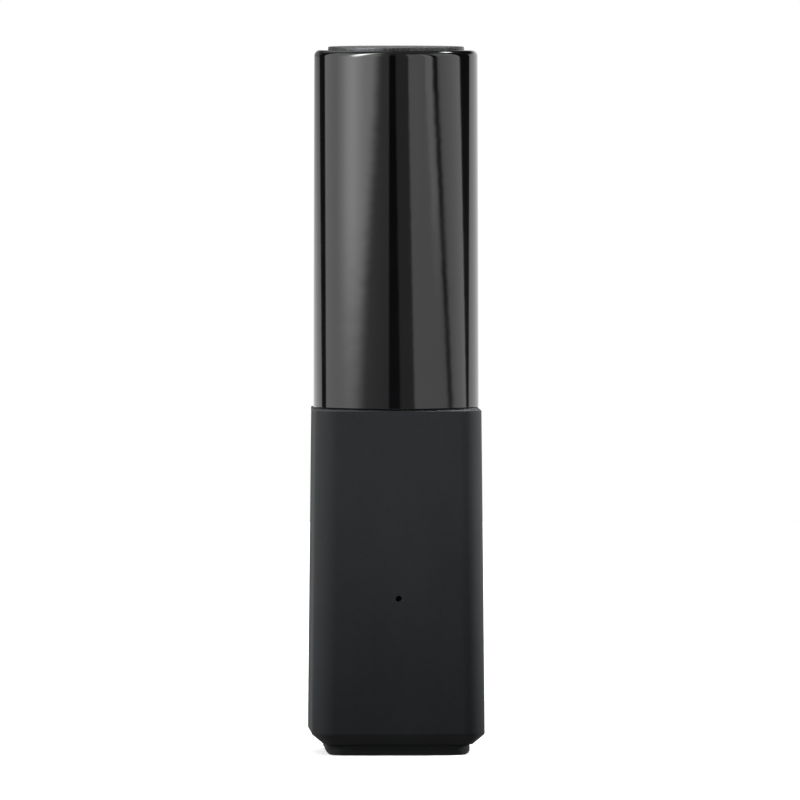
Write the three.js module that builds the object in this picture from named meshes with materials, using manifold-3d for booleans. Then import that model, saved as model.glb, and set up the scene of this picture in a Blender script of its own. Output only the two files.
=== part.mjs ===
// A twist-up lipstick case: a square matte base, a round gloss cap, and the screw mechanism between them.
// Units are millimetres, +Z is up, and the origin is the middle of the underside. The front faces -Y.
// Turning the neck lifts the carrier: its two pins run in the upright slots of the fork tube and in the
// spiral cam's two helical grooves.
import * as THREE from "three";
import { mergeVertices } from "three/addons/utils/BufferGeometryUtils.js";
import Module from "manifold-3d";

const wasm = await Module();
wasm.setup();

// ---- driving dimensions ----
const HEIGHT = 80;
const BODY_WIDTH_LOW = 19.6;
const BODY_WIDTH_TOP = 18.86;
const BODY_TOP_Z = 39;
const CORNER_R = 2.6;
const CAP_R_MOUTH = 9.39;
const CAP_R_TOP = 9.26;
const BULLET_R = 5.85;
const CARRIER_TRAVEL = 21;
const TWIST_TURNS = 1.25;

// ---- fits and small edges ----
const GAP = 0.15;
const SLIDE_GAP = 0.1;
const SNUG_GAP = 0.05;
const SEAT_GAP = 0.2;
const FINE_CHAMFER = 0.12;
const CHAMFER = 0.2;

// ---- radii of the mechanism, from the bullet outwards ----
const CUP_BORE_R = BULLET_R + SNUG_GAP;
const CUP_R = CUP_BORE_R + 0.35;
const FORK_BORE_R = CUP_R + SLIDE_GAP;
const FORK_R = FORK_BORE_R + 0.4;
const CAM_BORE_R = FORK_R + SLIDE_GAP;
const GROOVE_R = CAM_BORE_R + 0.35;
const CAM_R = CAM_BORE_R + 0.55;
const SHELL_BORE_R = CAM_R + SNUG_GAP;
const SHELL_R = SHELL_BORE_R + 0.25;
const NECK_BORE_R = SHELL_R + GAP;

// ---- heights of the mechanism ----
const FORK_SEAT_Z = 20;
const FORK_PLUG_TOP_Z = 25.6;
const BRAKE_H = 0.8;
const BRAKE_FACETS = 10;
const CAM_Z = FORK_PLUG_TOP_Z + BRAKE_H + 2 * GAP;
const CAM_SEAT_Z = CAM_Z - 0.5;
const CAM_FLANGE_H = 3;
const CAM_TOP_Z = 55.6;
const NECK_TOP_Z = 57.2;
const NECK_RIM_H = 0.4;
const NECK_EDGE_R = 0.3;
const CLICK_GROOVE_Z = 43.6;
const CLICK_GROOVE_HALF = 0.5;
const CLICK_GROOVE_FLOOR_HALF = 0.2;
const CLICK_GROOVE_DEPTH = 0.1;
const FORK_LIP_H = 0.35;
const FORK_LIP_TAPER = 0.25;
const CUP_Z = 26.8;
const CUP_H = 8.7;
const CUP_FLOOR = 0.6;
const BULLET_TIP_Z = 55.5;
const BULLET_DOME_R = 2.2;
const BULLET_SLANT_DEG = 47;
const BULLET_SLANT_Y = 2.4;
const PIN_R = 0.75;
const PIN_Z = CUP_Z + 1.5;
const PIN_CLEARANCE = 0.2;

// ---- the base ----
const FOOT_HALF = 8.13;
const FOOT_H = 1.25;
const FOOT_EDGE_R = 0.95;
const FOOT_CORNER_R = CORNER_R - 0.3;
const FOOT_RECESS_R = 6.2;
const FOOT_RECESS_DEPTH = 0.35;
const LABEL_Z = 0.17;
const LABEL_TOP_Z = 0.32;
const PLUG_TOP_Z = 3.2;
const CAVITY_HALF = 8.3;
const CAVITY_CORNER_R = 1.7;
const BODY_CUT_IN = 1.38;
const BODY_CUT_UP = 1.15;
const BODY_CUT_TOP_Z = FOOT_H + BODY_CUT_UP;
const BODY_TOP_CHAMFER = 0.18;
const BODY_TOP_WALL = 1.4;
const COLLAR_R = 8.15;
const COLLAR_H = 1.2;
const WEIGHT_POCKET_R = 7.3;
const WEIGHT_POCKET_TOP_Z = 13.5;
const WEB_HOLE_R = 1.6;
const WEB_TOP_Z = 14.7;
const WEIGHT_CHAMFER = 0.4;
const CHAMBER_R = 3.8;
const BREATHER_R = 0.33;
const BREATHER_Z = 17.8;

// ---- the cap ----
const CAP_Z = BODY_TOP_Z + GAP;
const DISC_PROUD = 0.35;
const CAP_TOP_Z = HEIGHT - DISC_PROUD;
const CAP_BORE_R = 8.55;
const CAP_CEILING_Z = 78;
const CAP_EDGE_R = 0.9;
const DISC_R = 7.7;
const DISC_Z = 79.2;
const LINER_BORE_R = SHELL_R + 0.2;
const LINER_R = CAP_BORE_R - SLIDE_GAP;
const LINER_Z = BODY_TOP_Z + COLLAR_H + 0.4;
const LINER_WALL_TOP = 0.5;
const LINER_SHOULDER = 0.3;
const LINER_LEAD_IN = 0.6;
const GRIP_RIBS = 8;
const GRIP_RIB_WIDTH = 0.5;
const GRIP_RIB_Z = LINER_Z + 0.8;
const GRIP_RIB_REACH_R = SHELL_R + SNUG_GAP;
const GRIP_RIB_TOP_Z = 52;

// ---- how finely round things are faceted ----
const ROUND = 64;
const CAP_ROUND = 80;
const CORNER_STEPS = 6;
const ARC_STEPS = 5;
const HELIX_STEPS_PER_TURN = 48;

const TWO_PI = 2 * Math.PI;

// ---- solids ----

// A closed geometry as a manifold-3d solid.
function solid(geometry) {
  const bare = geometry.clone();
  bare.deleteAttribute("normal");
  bare.deleteAttribute("uv");
  const merged = mergeVertices(bare, 1e-4);
  const mesh = new wasm.Mesh({
    numProp: 3,
    vertProperties: merged.attributes.position.array,
    triVerts: new Uint32Array(merged.index.array),
  });
  return new wasm.Manifold(mesh);
}

// A manifold-3d solid back as a geometry.
function geometryOf(made) {
  const mesh = made.getMesh();
  const geometry = new THREE.BufferGeometry();
  geometry.setAttribute("position", new THREE.BufferAttribute(mesh.vertProperties, 3));
  geometry.setIndex(new THREE.BufferAttribute(mesh.triVerts, 1));
  geometry.computeVertexNormals();
  return geometry;
}

// A body turned about Z from [radius, height] pairs that run up the outside and back down the inside.
function turned(profile, segments = ROUND) {
  const points = profile.map(([r, z]) => new THREE.Vector2(r, z));
  if (profile[0][0] > 0) points.push(points[0].clone());
  const geometry = new THREE.LatheGeometry(points, segments);
  return geometry.rotateX(Math.PI / 2);
}

// The points of a quarter round that bulges away from its centre, from one angle in degrees to another.
function arc(centreR, centreZ, radius, fromDeg, toDeg, steps = ARC_STEPS) {
  return Array.from({ length: steps + 1 }, (_, i) => {
    const a = THREE.MathUtils.degToRad(fromDeg + ((toDeg - fromDeg) * i) / steps);
    return [centreR + radius * Math.cos(a), centreZ + radius * Math.sin(a)];
  });
}

// One closed loop of a square with rounded corners, anticlockwise from above.
function squareLoop(half, cornerR, z) {
  const loop = [];
  for (let corner = 0; corner < 4; corner++) {
    const turn = (corner * Math.PI) / 2;
    const centre = new THREE.Vector2(half - cornerR, half - cornerR).rotateAround(new THREE.Vector2(), turn);
    for (let i = 0; i <= CORNER_STEPS; i++) {
      const a = turn + (i / CORNER_STEPS) * (Math.PI / 2);
      loop.push([centre.x + cornerR * Math.cos(a), centre.y + cornerR * Math.sin(a), z]);
    }
  }
  return loop;
}

// A closed body skinned over loops that have the same number of points, with a flat fan over each end.
function skinned(loops) {
  const count = loops[0].length;
  const vertices = loops.flat(2);
  const faces = [];
  for (let k = 0; k + 1 < loops.length; k++)
    for (let i = 0; i < count; i++) {
      const [a, b] = [k * count + i, k * count + ((i + 1) % count)];
      faces.push(a, b, b + count, a, b + count, a + count);
    }
  const last = (loops.length - 1) * count;
  for (let i = 1; i + 1 < count; i++) {
    faces.push(0, i + 1, i);
    faces.push(last, last + i, last + i + 1);
  }
  const geometry = new THREE.BufferGeometry();
  geometry.setAttribute("position", new THREE.Float32BufferAttribute(vertices, 3));
  geometry.setIndex(faces);
  return geometry;
}

// A straight square bar with rounded corners.
function squareBar(half, cornerR, fromZ, toZ) {
  return skinned([squareLoop(half, cornerR, fromZ), squareLoop(half, cornerR, toZ)]);
}

// A round bar along Z.
function roundBar(radius, fromZ, toZ, segments = ROUND) {
  return turned([[0, fromZ], [radius, fromZ], [radius, toZ], [0, toZ]], segments);
}

// ---- the base: the root body ----

// Half the body's width at a height, from the top of its cut lower edge to its own top.
function bodyHalf(z) {
  const share = (z - BODY_CUT_TOP_Z) / (BODY_TOP_Z - BODY_CUT_TOP_Z);
  return (BODY_WIDTH_LOW + (BODY_WIDTH_TOP - BODY_WIDTH_LOW) * share) / 2;
}

// The breather hole's tool, a thin bar that runs in from the front.
function breather() {
  const tool = new THREE.CylinderGeometry(BREATHER_R, BREATHER_R, 6, 16);
  return solid(tool.translate(0, -BODY_WIDTH_LOW / 2 + 1, BREATHER_Z));
}

function bodySleeve() {
  const shoulder = BODY_TOP_Z - BODY_TOP_CHAMFER;
  const outside = [
    squareLoop(bodyHalf(BODY_CUT_TOP_Z) - BODY_CUT_IN, CORNER_R - BODY_CUT_IN, FOOT_H),
    squareLoop(bodyHalf(BODY_CUT_TOP_Z), CORNER_R, BODY_CUT_TOP_Z),
    squareLoop(bodyHalf(shoulder), CORNER_R, shoulder),
    squareLoop(bodyHalf(BODY_TOP_Z) - BODY_TOP_CHAMFER, CORNER_R - BODY_TOP_CHAMFER, BODY_TOP_Z),
  ];
  const cavity = squareBar(CAVITY_HALF, CAVITY_CORNER_R, FOOT_H - 1, BODY_TOP_Z - BODY_TOP_WALL);
  const mouth = roundBar(COLLAR_R + SLIDE_GAP, BODY_TOP_Z - 2 * BODY_TOP_WALL, BODY_TOP_Z + 1);
  return geometryOf(
    solid(skinned(outside)).subtract(solid(cavity)).subtract(solid(mouth)).subtract(breather()),
  );
}

function baseLiner() {
  const bottom = PLUG_TOP_Z + SEAT_GAP;
  const shoulder = BODY_TOP_Z - BODY_TOP_WALL - SEAT_GAP;
  const top = BODY_TOP_Z + COLLAR_H;
  const block = solid(squareBar(CAVITY_HALF - GAP, CAVITY_CORNER_R - GAP, bottom, shoulder));
  const collar = solid(
    turned([
      [0, shoulder - 1],
      [COLLAR_R, shoulder - 1],
      [COLLAR_R, top - CHAMFER],
      [COLLAR_R - CHAMFER, top],
      [0, top],
    ]),
  );
  const bore = turned([
    [0, bottom - 1],
    [WEIGHT_POCKET_R, bottom - 1],
    [WEIGHT_POCKET_R, WEIGHT_POCKET_TOP_Z],
    [WEB_HOLE_R, WEIGHT_POCKET_TOP_Z],
    [WEB_HOLE_R, WEB_TOP_Z],
    [CHAMBER_R, WEB_TOP_Z],
    [CHAMBER_R, FORK_SEAT_Z],
    [SHELL_BORE_R + GAP, FORK_SEAT_Z],
    [SHELL_BORE_R + GAP, CAM_SEAT_Z],
    [NECK_BORE_R, CAM_SEAT_Z],
    [NECK_BORE_R, top + 1],
    [0, top + 1],
  ]);
  return geometryOf(block.add(collar).subtract(solid(bore)).subtract(breather()));
}

function footPlug() {
  const flare = arc(FOOT_HALF - FOOT_EDGE_R, FOOT_EDGE_R, FOOT_EDGE_R, -90, 0);
  const loops = flare.map(([half, z]) => squareLoop(half, FOOT_CORNER_R - (FOOT_HALF - half), z));
  loops.push(squareLoop(FOOT_HALF, FOOT_CORNER_R, FOOT_H));
  const tread = solid(skinned(loops));
  const spigot = solid(squareBar(CAVITY_HALF - GAP, CAVITY_CORNER_R - GAP, FOOT_H, PLUG_TOP_Z));
  const recess = solid(roundBar(FOOT_RECESS_R, -1, FOOT_RECESS_DEPTH));
  return geometryOf(tread.add(spigot).subtract(recess));
}

function shadeLabel() {
  return roundBar(FOOT_RECESS_R - SEAT_GAP, LABEL_Z, LABEL_TOP_Z);
}

function baseWeight() {
  const [r, low, top] = [WEIGHT_POCKET_R - GAP, PLUG_TOP_Z + GAP, WEIGHT_POCKET_TOP_Z - GAP];
  return turned([
    [0, low],
    [r - WEIGHT_CHAMFER, low],
    [r, low + WEIGHT_CHAMFER],
    [r, top - WEIGHT_CHAMFER],
    [r - WEIGHT_CHAMFER, top],
    [0, top],
  ]);
}

function forkTube() {
  const lipR = CAM_BORE_R + FORK_LIP_TAPER;
  const lipZ = CAM_TOP_Z + GAP;
  const top = lipZ + FORK_LIP_H + FORK_LIP_TAPER;
  const body = turned([
    [CHAMBER_R, FORK_SEAT_Z + GAP],
    [SHELL_BORE_R, FORK_SEAT_Z + GAP],
    [SHELL_BORE_R, FORK_PLUG_TOP_Z],
    [FORK_R, FORK_PLUG_TOP_Z],
    [FORK_R, lipZ],
    [lipR, lipZ],
    [lipR, lipZ + FORK_LIP_H],
    [lipR - FORK_LIP_TAPER, top],
    [FORK_BORE_R, top],
    [FORK_BORE_R, FORK_PLUG_TOP_Z],
    [CHAMBER_R, FORK_PLUG_TOP_Z],
  ]);
  const reach = PIN_R + PIN_CLEARANCE;
  const slot = new THREE.BoxGeometry(4 * FORK_R, 2 * (PIN_R + GAP), CARRIER_TRAVEL + 2 * reach);
  slot.translate(0, 0, PIN_Z + CARRIER_TRAVEL / 2);
  return geometryOf(solid(body).subtract(solid(slot)));
}

function brakeRing() {
  const [low, inner, outer] = [FORK_PLUG_TOP_Z + GAP, FORK_R + SLIDE_GAP, CAM_R];
  const middle = [(inner + outer) / 2, low + BRAKE_H / 2];
  const section = Array.from({ length: BRAKE_FACETS }, (_, i) => {
    const a = (i / BRAKE_FACETS) * TWO_PI;
    return [middle[0] + ((outer - inner) / 2) * Math.cos(a), middle[1] + (BRAKE_H / 2) * Math.sin(a)];
  });
  return turned(section);
}

// ---- the neck: turns on the base ----

// One helical groove's tool, for the pin that starts at startAngle.
function groove(startAngle) {
  const slope = Math.atan((CARRIER_TRAVEL / TWIST_TURNS) / (TWO_PI * GROOVE_R));
  const halfHeight = (PIN_R + PIN_CLEARANCE) / Math.cos(slope);
  const overrun = (PIN_R + PIN_CLEARANCE) / GROOVE_R;
  const [inner, outer] = [CAM_BORE_R - 0.4, GROOVE_R];
  const sweep = TWIST_TURNS * TWO_PI;
  const steps = Math.round((HELIX_STEPS_PER_TURN * (sweep + 2 * overrun)) / TWO_PI);
  const loops = [];
  for (let i = 0; i <= steps; i++) {
    const turn = -overrun + ((sweep + 2 * overrun) * i) / steps;
    const [c, s] = [Math.cos(startAngle + turn), Math.sin(startAngle + turn)];
    const z = PIN_Z + (CARRIER_TRAVEL * turn) / sweep;
    loops.push([
      [inner * c, inner * s, z - halfHeight],
      [inner * c, inner * s, z + halfHeight],
      [outer * c, outer * s, z + halfHeight],
      [outer * c, outer * s, z - halfHeight],
    ]);
  }
  return solid(skinned(loops));
}

function spiralCam() {
  const body = turned([
    [SHELL_R, CAM_Z],
    [SHELL_R, CAM_Z + CAM_FLANGE_H],
    [CAM_R, CAM_Z + CAM_FLANGE_H],
    [CAM_R, CAM_TOP_Z],
    [CAM_BORE_R, CAM_TOP_Z],
    [CAM_BORE_R, CAM_Z],
  ]);
  return geometryOf(solid(body).subtract(groove(0)).subtract(groove(Math.PI)));
}

function neckShell() {
  const low = CAM_Z + CAM_FLANGE_H + SLIDE_GAP;
  const rimBore = CUP_R + SLIDE_GAP;
  const grooveR = SHELL_R - CLICK_GROOVE_DEPTH;
  return turned([
    [SHELL_BORE_R, low],
    [SHELL_R, low],
    [SHELL_R, CLICK_GROOVE_Z - CLICK_GROOVE_HALF],
    [grooveR, CLICK_GROOVE_Z - CLICK_GROOVE_FLOOR_HALF],
    [grooveR, CLICK_GROOVE_Z + CLICK_GROOVE_FLOOR_HALF],
    [SHELL_R, CLICK_GROOVE_Z + CLICK_GROOVE_HALF],
    ...arc(SHELL_R - NECK_EDGE_R, NECK_TOP_Z - NECK_EDGE_R, NECK_EDGE_R, 0, 90),
    [rimBore, NECK_TOP_Z],
    [rimBore, NECK_TOP_Z - NECK_RIM_H],
    [SHELL_BORE_R, NECK_TOP_Z - NECK_RIM_H],
  ]);
}

// ---- the carrier: slides in the fork tube ----

function carrierCup() {
  const top = CUP_Z + CUP_H;
  const cup = turned([
    [0, CUP_Z],
    [CUP_R - CHAMFER, CUP_Z],
    [CUP_R, CUP_Z + CHAMFER],
    [CUP_R, top - FINE_CHAMFER],
    [CUP_R - FINE_CHAMFER, top],
    [CUP_BORE_R, top],
    [CUP_BORE_R, CUP_Z + CUP_FLOOR],
    [0, CUP_Z + CUP_FLOOR],
  ]);
  let made = solid(cup);
  for (const side of [-1, 1]) {
    const length = GROOVE_R - SLIDE_GAP - CUP_BORE_R - SLIDE_GAP;
    const pin = new THREE.CylinderGeometry(PIN_R, PIN_R, length, 16).rotateZ(Math.PI / 2);
    pin.translate(side * (CUP_BORE_R + SLIDE_GAP + length / 2), 0, PIN_Z);
    made = made.add(solid(pin));
  }
  return geometryOf(made);
}

function bullet() {
  const low = CUP_Z + CUP_FLOOR + SNUG_GAP;
  const stick = turned([
    [0, low],
    [BULLET_R, low],
    ...arc(BULLET_R - BULLET_DOME_R, BULLET_TIP_Z - BULLET_DOME_R, BULLET_DOME_R, 0, 90, CORNER_STEPS),
    [0, BULLET_TIP_Z],
  ]);
  const size = 6 * BULLET_R;
  const slant = new THREE.BoxGeometry(size, size, size).translate(0, 0, size / 2);
  slant.rotateX(THREE.MathUtils.degToRad(BULLET_SLANT_DEG)).translate(0, BULLET_SLANT_Y, BULLET_TIP_Z);
  return geometryOf(solid(stick).subtract(solid(slant)));
}

// ---- the cap: pulls off the neck ----

function capShell() {
  const recessR = DISC_R + SLIDE_GAP;
  const profile = [
    [CAP_R_MOUTH - FINE_CHAMFER, CAP_Z],
    [CAP_R_MOUTH, CAP_Z + FINE_CHAMFER],
    ...arc(CAP_R_TOP - CAP_EDGE_R, CAP_TOP_Z - CAP_EDGE_R, CAP_EDGE_R, 0, 90, CORNER_STEPS),
    [recessR, CAP_TOP_Z],
    [recessR, DISC_Z - SNUG_GAP],
    [0, DISC_Z - SNUG_GAP],
  ];
  const body = solid(turned([[0, CAP_Z], ...profile], CAP_ROUND));
  const bore = solid(roundBar(CAP_BORE_R, CAP_Z - 1, CAP_CEILING_Z, CAP_ROUND));
  return geometryOf(body.subtract(bore));
}

function capLiner() {
  const top = CAP_CEILING_Z - SEAT_GAP;
  const sleeve = turned([
    [LINER_BORE_R + CHAMFER, LINER_Z],
    [LINER_R, LINER_Z],
    [LINER_R, top - LINER_SHOULDER],
    [LINER_R - LINER_SHOULDER, top],
    [0, top],
    [0, top - LINER_WALL_TOP],
    [LINER_BORE_R, top - LINER_WALL_TOP],
    [LINER_BORE_R, LINER_Z + LINER_LEAD_IN],
  ]);
  const length = LINER_R - SLIDE_GAP - GRIP_RIB_REACH_R;
  let made = solid(sleeve);
  for (let i = 0; i < GRIP_RIBS; i++) {
    const rib = new THREE.BoxGeometry(length, GRIP_RIB_WIDTH, GRIP_RIB_TOP_Z - GRIP_RIB_Z);
    rib.translate(GRIP_RIB_REACH_R + length / 2, 0, (GRIP_RIB_TOP_Z + GRIP_RIB_Z) / 2);
    made = made.add(solid(rib.rotateZ((i * TWO_PI) / GRIP_RIBS)));
  }
  return geometryOf(made);
}

function capTopDisc() {
  return turned([
    [0, DISC_Z],
    [DISC_R, DISC_Z],
    [DISC_R, HEIGHT - FINE_CHAMFER],
    [DISC_R - FINE_CHAMFER, HEIGHT],
    [0, HEIGHT],
  ]);
}

// ---- finishes ----
const finish = (color, roughness, metalness) => new THREE.MeshStandardMaterial({ color, roughness, metalness });
const SOFT_TOUCH = finish(0x26272a, 0.62, 0);
const GLOSS_BLACK = finish(0x0b0b0d, 0.06, 0);
const SPUN_BLACK = finish(0x2b2c2e, 0.35, 0.6);
const BLACK_PLASTIC = finish(0x161617, 0.45, 0);
const NATURAL_PLASTIC = finish(0xdedcd4, 0.4, 0);
const POLISHED_ALUMINIUM = finish(0xc9ccd0, 0.12, 1);
const STEEL = finish(0x8c9094, 0.35, 1);
const SILICONE = finish(0xb9bcbf, 0.5, 0);
const PAPER = finish(0xd8d6cf, 0.7, 0);
const WAX = finish(0x8e1b26, 0.35, 0);

const assembly = new THREE.Group();
for (const [name, geometry, material] of [
  ["body_sleeve", bodySleeve(), SOFT_TOUCH],
  ["base_liner", baseLiner(), BLACK_PLASTIC],
  ["foot_plug", footPlug(), SOFT_TOUCH],
  ["shade_label", shadeLabel(), PAPER],
  ["base_weight", baseWeight(), STEEL],
  ["fork_tube", forkTube(), NATURAL_PLASTIC],
  ["brake_ring", brakeRing(), SILICONE],
  ["spiral_cam", spiralCam(), BLACK_PLASTIC],
  ["neck_shell", neckShell(), POLISHED_ALUMINIUM],
  ["carrier_cup", carrierCup(), NATURAL_PLASTIC],
  ["bullet", bullet(), WAX],
  ["cap_shell", capShell(), GLOSS_BLACK],
  ["cap_liner", capLiner(), BLACK_PLASTIC],
  ["cap_top_disc", capTopDisc(), SPUN_BLACK],
]) {
  const mesh = new THREE.Mesh(geometry, material);
  mesh.name = name;
  assembly.add(mesh);
}

export default assembly;
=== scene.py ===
"""A twist-up lipstick case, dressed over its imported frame.

Four sub-assemblies ride on the frame's four bodies: the base, the neck, the carrier and the cap.
Lengths are in metres.
"""
import logging
import math
from collections.abc import Mapping, Sequence
from dataclasses import dataclass, field
from enum import Enum
from typing import Protocol, Union

import bmesh
import bpy
from mathutils import Matrix, Vector


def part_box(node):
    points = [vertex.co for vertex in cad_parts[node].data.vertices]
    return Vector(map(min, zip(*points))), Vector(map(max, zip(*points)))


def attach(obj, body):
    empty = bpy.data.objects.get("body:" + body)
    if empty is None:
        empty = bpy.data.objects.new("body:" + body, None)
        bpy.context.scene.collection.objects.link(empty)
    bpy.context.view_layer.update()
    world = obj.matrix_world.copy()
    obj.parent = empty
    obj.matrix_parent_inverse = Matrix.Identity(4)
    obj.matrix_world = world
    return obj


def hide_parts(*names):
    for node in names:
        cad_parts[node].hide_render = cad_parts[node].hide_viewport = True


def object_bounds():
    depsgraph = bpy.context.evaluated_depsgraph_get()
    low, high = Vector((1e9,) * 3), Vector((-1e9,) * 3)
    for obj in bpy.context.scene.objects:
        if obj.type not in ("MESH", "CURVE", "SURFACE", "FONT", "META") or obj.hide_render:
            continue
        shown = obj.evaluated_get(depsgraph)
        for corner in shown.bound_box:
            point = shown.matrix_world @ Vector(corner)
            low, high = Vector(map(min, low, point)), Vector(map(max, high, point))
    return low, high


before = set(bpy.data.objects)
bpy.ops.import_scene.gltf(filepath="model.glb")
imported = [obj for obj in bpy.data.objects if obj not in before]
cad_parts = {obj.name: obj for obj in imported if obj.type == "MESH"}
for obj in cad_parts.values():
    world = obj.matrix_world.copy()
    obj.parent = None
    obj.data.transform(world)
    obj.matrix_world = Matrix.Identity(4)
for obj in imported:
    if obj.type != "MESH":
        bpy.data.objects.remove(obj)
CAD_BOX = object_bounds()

LOG = logging.getLogger("lipstick_case")

MM = 0.001
MICRON = 1e-6
PLANE_TOLERANCE = 1e-8
ROUND_SEGMENTS = 192
FILLET_STEPS = 8
FILLET_SHARE = 0.49
SMOOTH_SEGMENTS = 256
FLAT_FACE_WEIGHT = 100
SHARP_ANGLE = math.radians(32)
PLAIN_DETAIL = 1.0
SOFT_DETAIL = 2.0
FINE_DETAIL = 3.0
FINEST_DETAIL = 4.0

Colour = tuple[float, float, float]
Stretch = tuple[float, float, float]
Band = tuple[float, float]
ProfilePoint = tuple[float, float]
ProfileCorner = tuple[float, float, float]
Ring = list[Vector]


class Body(Enum):
    """The frame's bodies."""

    BASE = "base"
    NECK = "neck"
    CARRIER = "carrier"
    CAP = "cap"


class Slot(Enum):
    """The record's material slots."""

    SOFT_TOUCH = "soft_touch_black"
    GLOSS = "gloss_black"
    DISC = "dark_disc"
    BLACK_PLASTIC = "black_plastic"
    NATURAL_PLASTIC = "natural_plastic"
    ALUMINIUM = "polished_aluminium"
    STEEL = "bare_steel"
    SILICONE = "silicone"
    PAPER = "paper"
    WAX = "wax"


class Op(Enum):
    """The Math node operations that expressions use."""

    ADD = "ADD"
    SUBTRACT = "SUBTRACT"
    MULTIPLY = "MULTIPLY"
    DIVIDE = "DIVIDE"
    ABSOLUTE = "ABSOLUTE"
    MINIMUM = "MINIMUM"
    MAXIMUM = "MAXIMUM"
    ARCTAN2 = "ARCTAN2"
    ARCSINE = "ARCSINE"
    SQRT = "SQRT"


# ---- node trees as expressions ----

Value = Union[float, "Signal"]


class Signal:
    """A number that a node puts out, for use in Python expressions."""

    def __init__(self, graph: "Graph", socket: bpy.types.NodeSocket) -> None:
        """Wraps one output socket of a graph's node."""
        self.graph = graph
        self.socket = socket

    def __add__(self, other: Value) -> "Signal":
        """self + other."""
        return self.graph.math(Op.ADD, self, other)

    def __radd__(self, other: Value) -> "Signal":
        """other + self."""
        return self.graph.math(Op.ADD, other, self)

    def __sub__(self, other: Value) -> "Signal":
        """self - other."""
        return self.graph.math(Op.SUBTRACT, self, other)

    def __rsub__(self, other: Value) -> "Signal":
        """other - self."""
        return self.graph.math(Op.SUBTRACT, other, self)

    def __mul__(self, other: Value) -> "Signal":
        """self * other."""
        return self.graph.math(Op.MULTIPLY, self, other)

    def __rmul__(self, other: Value) -> "Signal":
        """other * self."""
        return self.graph.math(Op.MULTIPLY, other, self)

    def __truediv__(self, other: Value) -> "Signal":
        """self / other."""
        return self.graph.math(Op.DIVIDE, self, other)

    def __abs__(self) -> "Signal":
        """The size of self without its sign."""
        return self.graph.math(Op.ABSOLUTE, self)


class Graph:
    """A node tree that is filled in from Python expressions."""

    def __init__(self, tree: bpy.types.NodeTree) -> None:
        """Starts on an emptied node tree."""
        self.tree = tree
        tree.nodes.clear()

    def node(
        self,
        kind: str,
        settings: Mapping[str, object] | None = None,
        sockets: Mapping[str | int, object] | None = None,
    ) -> bpy.types.Node:
        """Adds any node.

        Args:
            kind: the node's type name.
            settings: properties of the node, set before its sockets.
            sockets: values for its inputs, or signals, sockets and nodes to link to them.

        Returns:
            The new node.
        """
        made = self.tree.nodes.new(kind)
        for name, setting in (settings or {}).items():
            setattr(made, name, setting)
        for key, value in (sockets or {}).items():
            if isinstance(value, Signal):
                self.tree.links.new(value.socket, made.inputs[key])
            elif isinstance(value, bpy.types.Node):
                self.tree.links.new(value.outputs[0], made.inputs[key])
            elif isinstance(value, bpy.types.NodeSocket):
                self.tree.links.new(value, made.inputs[key])
            else:
                made.inputs[key].default_value = value
        return made

    def out(self, node: bpy.types.Node, name: str | int = 0) -> Signal:
        """One output of a node, as a signal."""
        return Signal(self, node.outputs[name])

    def math(self, operation: Op, *values: Value) -> Signal:
        """One Math node over one or two values."""
        sockets = dict(enumerate(values))
        return self.out(self.node("ShaderNodeMath", {"operation": operation.value}, sockets))

    def step(self, value: Value, low: Value, high: Value) -> Signal:
        """A smooth rise from 0 at low to 1 at high."""
        sockets = {"Value": value, "From Min": low, "From Max": high}
        return self.out(self.node("ShaderNodeMapRange", {"interpolation_type": "SMOOTHSTEP"}, sockets))

    def mix_colour(self, factor: Value, first: object, second: object) -> bpy.types.NodeSocket:
        """A colour between two, by a factor.

        Args:
            factor: 0 for the first colour, 1 for the second.
            first: a colour of four numbers, or a colour socket.
            second: the same.

        Returns:
            The mixed colour's socket.
        """
        mixed = self.node("ShaderNodeMix", {"data_type": "RGBA"}, {0: factor, 6: first, 7: second})
        return mixed.outputs[2]

    def place(self) -> bpy.types.NodeSocket:
        """The point being shaded, in object coordinates."""
        return self.node("ShaderNodeTexCoord").outputs["Object"]

    def axes(self, vector: bpy.types.NodeSocket) -> tuple[Signal, Signal, Signal]:
        """A vector's three numbers."""
        split = self.node("ShaderNodeSeparateXYZ", sockets={0: vector})
        return self.out(split, 0), self.out(split, 1), self.out(split, 2)

    def radius(self) -> Signal:
        """The distance from the axis of the point being shaded."""
        x, y, _ = self.axes(self.place())
        return self.math(Op.SQRT, x * x + y * y)

    def noise(
        self,
        size: float,
        detail: float,
        stretch: Stretch = (1, 1, 1),
        seed: float = 0.0,
    ) -> Signal:
        """Noise from 0 to 1 over object coordinates.

        Args:
            size: the width of its features, in metres.
            detail: how many finer layers it has.
            stretch: how much longer the features are along each axis.
            seed: an offset that gives another pattern.

        Returns:
            The noise's value.
        """
        scale = [1.0 / (size * factor) for factor in stretch]
        moved = self.node(
            "ShaderNodeVectorMath",
            {"operation": "MULTIPLY_ADD"},
            {0: self.place(), 1: scale, 2: (seed, seed, seed)},
        )
        sockets = {"Vector": moved, "Scale": 1.0, "Detail": detail}
        return self.out(self.node("ShaderNodeTexNoise", sockets=sockets))

    def line_noise(self, along: Signal, width: float) -> Signal:
        """Noise that changes along one number only, such as the lines a lathe tool leaves."""
        sockets = {"W": along, "Scale": 1.0 / width, "Detail": FINE_DETAIL}
        return self.out(self.node("ShaderNodeTexNoise", {"noise_dimensions": "1D"}, sockets))

    def bump(self, height: Value, depth: float) -> bpy.types.Node:
        """A bump whose height of 1 stands depth metres high."""
        return self.node("ShaderNodeBump", sockets={"Height": height, "Distance": depth})


def opaque(colour: Colour) -> tuple[float, float, float, float]:
    """A colour with an alpha of 1."""
    return (*colour, 1.0)


# ---- finishes ----


@dataclass(frozen=True)
class Shell:
    """What a finish hands to the principled shader: links or plain values."""

    colour: object
    roughness: Value
    normal: bpy.types.Node
    metallic: float = 0.0
    fixed: Mapping[str, float] = field(default_factory=dict)


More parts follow.
